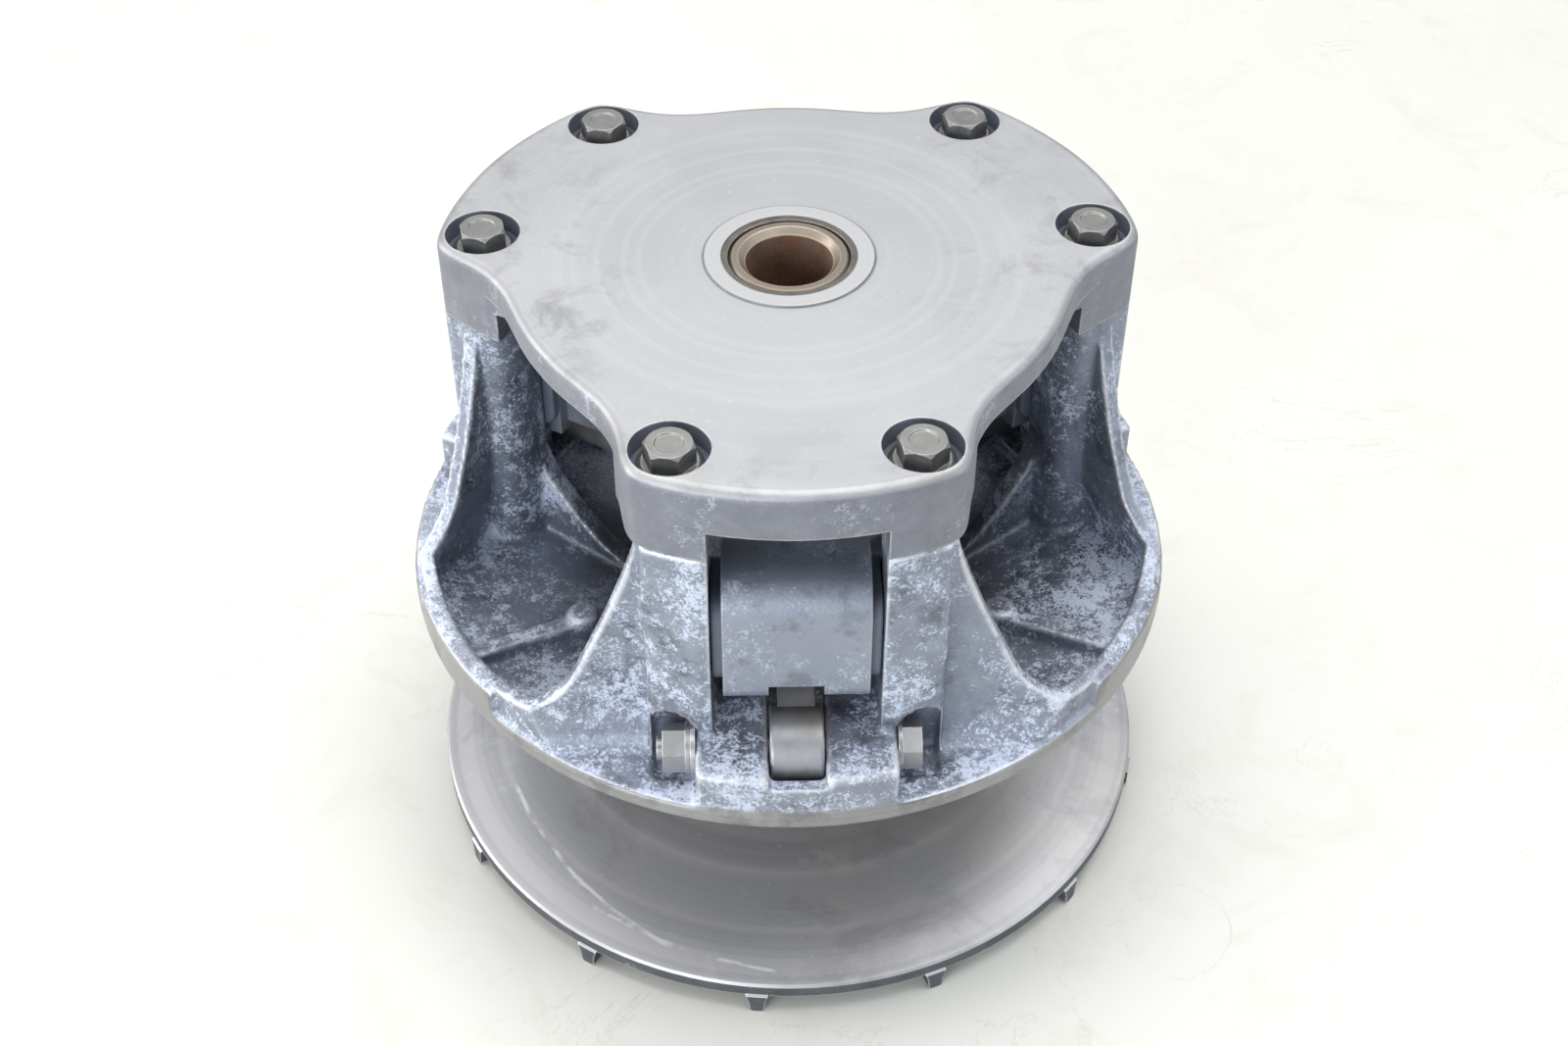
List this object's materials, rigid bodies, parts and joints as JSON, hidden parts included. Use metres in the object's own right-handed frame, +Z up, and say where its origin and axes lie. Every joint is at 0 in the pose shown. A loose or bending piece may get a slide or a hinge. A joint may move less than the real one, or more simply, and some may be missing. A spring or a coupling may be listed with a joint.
{
  "type": "cvt drive pulley",
  "caption": "Drive pulley of a belt variator: a finned fixed sheave and a sliding three-tower sheave on a hollow shaft, shut by centrifugal flyweights and opened by a spring.",
  "frame": {"origin": "on the shaft axis, in the plane of the fixed sheave's fin tips, which it stands on", "axes": "+Z up the shaft axis towards the cover; -Y through the middle of the first tower; +X to the right seen from -Y"},
  "size_m": [0.192, 0.192, 0.1646],
  "materials": {
    "face_metal": "satin turned face",
    "shaft_steel": "worn, lightly rusted",
    "spider_casting": "cast, oxide mottled",
    "dark_steel": "dull",
    "spring_steel": "satin black",
    "sheave_casting": "cast, oxide mottled, worn edges",
    "bush_polymer": "matte",
    "cover_aluminium": "satin, smudged",
    "bush_dark": "dark worn",
    "bolt_steel": "dull olive grey plate",
    "washer_steel": "dull",
    "roller_steel": "ground",
    "weight_steel": "dull brown grey",
    "pivot_steel": "dull zinc",
    "button_plastic": "smooth dark blue grey"
  },
  "bodies": {
    "fixed_side": {"fixed_sheave": "face_metal", "shaft": "shaft_steel", "spider": "spider_casting", "spider_jam_nut": "dark_steel", "roller_washers": "dark_steel", "primary_spring": "spring_steel", "roller_pin_1": "dark_steel", "roller_pin_2": "dark_steel", "roller_pin_3": "dark_steel", "slide_button_1a": "button_plastic", "slide_button_1b": "button_plastic", "slide_button_2a": "button_plastic", "slide_button_2b": "button_plastic", "slide_button_3a": "button_plastic", "slide_button_3b": "button_plastic"},
    "moving_side": {"movable_sheave": "sheave_casting", "movable_sheave_bush": "bush_polymer", "cover": "cover_aluminium", "cover_bush": "bush_dark", "cover_bolts": "bolt_steel", "weight_nut_washers": "washer_steel", "weight_bolt_1": "pivot_steel", "weight_bolt_2": "pivot_steel", "weight_bolt_3": "pivot_steel", "weight_nut_1": "pivot_steel", "weight_nut_2": "pivot_steel", "weight_nut_3": "pivot_steel"},
    "roller_unit_1": {"roller_1": "roller_steel", "roller_bush_1": "bush_polymer"},
    "flyweight_unit_1": {"flyweight_1": "weight_steel", "flyweight_bush_1": "bush_polymer"},
    "roller_unit_2": {"roller_2": "roller_steel", "roller_bush_2": "bush_polymer"},
    "flyweight_unit_2": {"flyweight_2": "weight_steel", "flyweight_bush_2": "bush_polymer"},
    "roller_unit_3": {"roller_3": "roller_steel", "roller_bush_3": "bush_polymer"},
    "flyweight_unit_3": {"flyweight_3": "weight_steel", "flyweight_bush_3": "bush_polymer"}
  },
  "joints": [
    {"name": "sheave_slide", "type": "slide", "parent": "fixed_side", "child": "moving_side", "axis": [0, 0, -1], "range_m": [0, 0.025], "stiffness_N_per_m": 22000, "springref_m": -0.012, "deforming": ["primary_spring"]},
    {"name": "roller_spin_1", "type": "hinge", "parent": "fixed_side", "child": "roller_unit_1", "pos_m": [0, -0.067, 0.1045], "axis": [1, 0, 0], "continuous": true},
    {"name": "flyweight_swing_1", "type": "hinge", "parent": "moving_side", "child": "flyweight_unit_1", "pos_m": [0, -0.0805, 0.0835], "axis": [1, 0, 0], "range_deg": [0, 60]},
    {"name": "roller_spin_2", "type": "hinge", "parent": "fixed_side", "child": "roller_unit_2", "pos_m": [0.05802, 0.0335, 0.1045], "axis": [-0.5, 0.866, 0], "continuous": true},
    {"name": "flyweight_swing_2", "type": "hinge", "parent": "moving_side", "child": "flyweight_unit_2", "pos_m": [0.06972, 0.04025, 0.0835], "axis": [-0.5, 0.866, 0], "range_deg": [0, 60]},
    {"name": "roller_spin_3", "type": "hinge", "parent": "fixed_side", "child": "roller_unit_3", "pos_m": [-0.05802, 0.0335, 0.1045], "axis": [-0.5, -0.866, 0], "continuous": true},
    {"name": "flyweight_swing_3", "type": "hinge", "parent": "moving_side", "child": "flyweight_unit_3", "pos_m": [-0.06972, 0.04025, 0.0835], "axis": [-0.5, -0.866, 0], "range_deg": [0, 60]}
  ],
  "couplings": [
    {"joint": "flyweight_swing_1", "follows": "sheave_slide", "rad_per_m": 41.887},
    {"joint": "flyweight_swing_2", "follows": "sheave_slide", "rad_per_m": 41.887},
    {"joint": "flyweight_swing_3", "follows": "sheave_slide", "rad_per_m": 41.887}
  ]
}
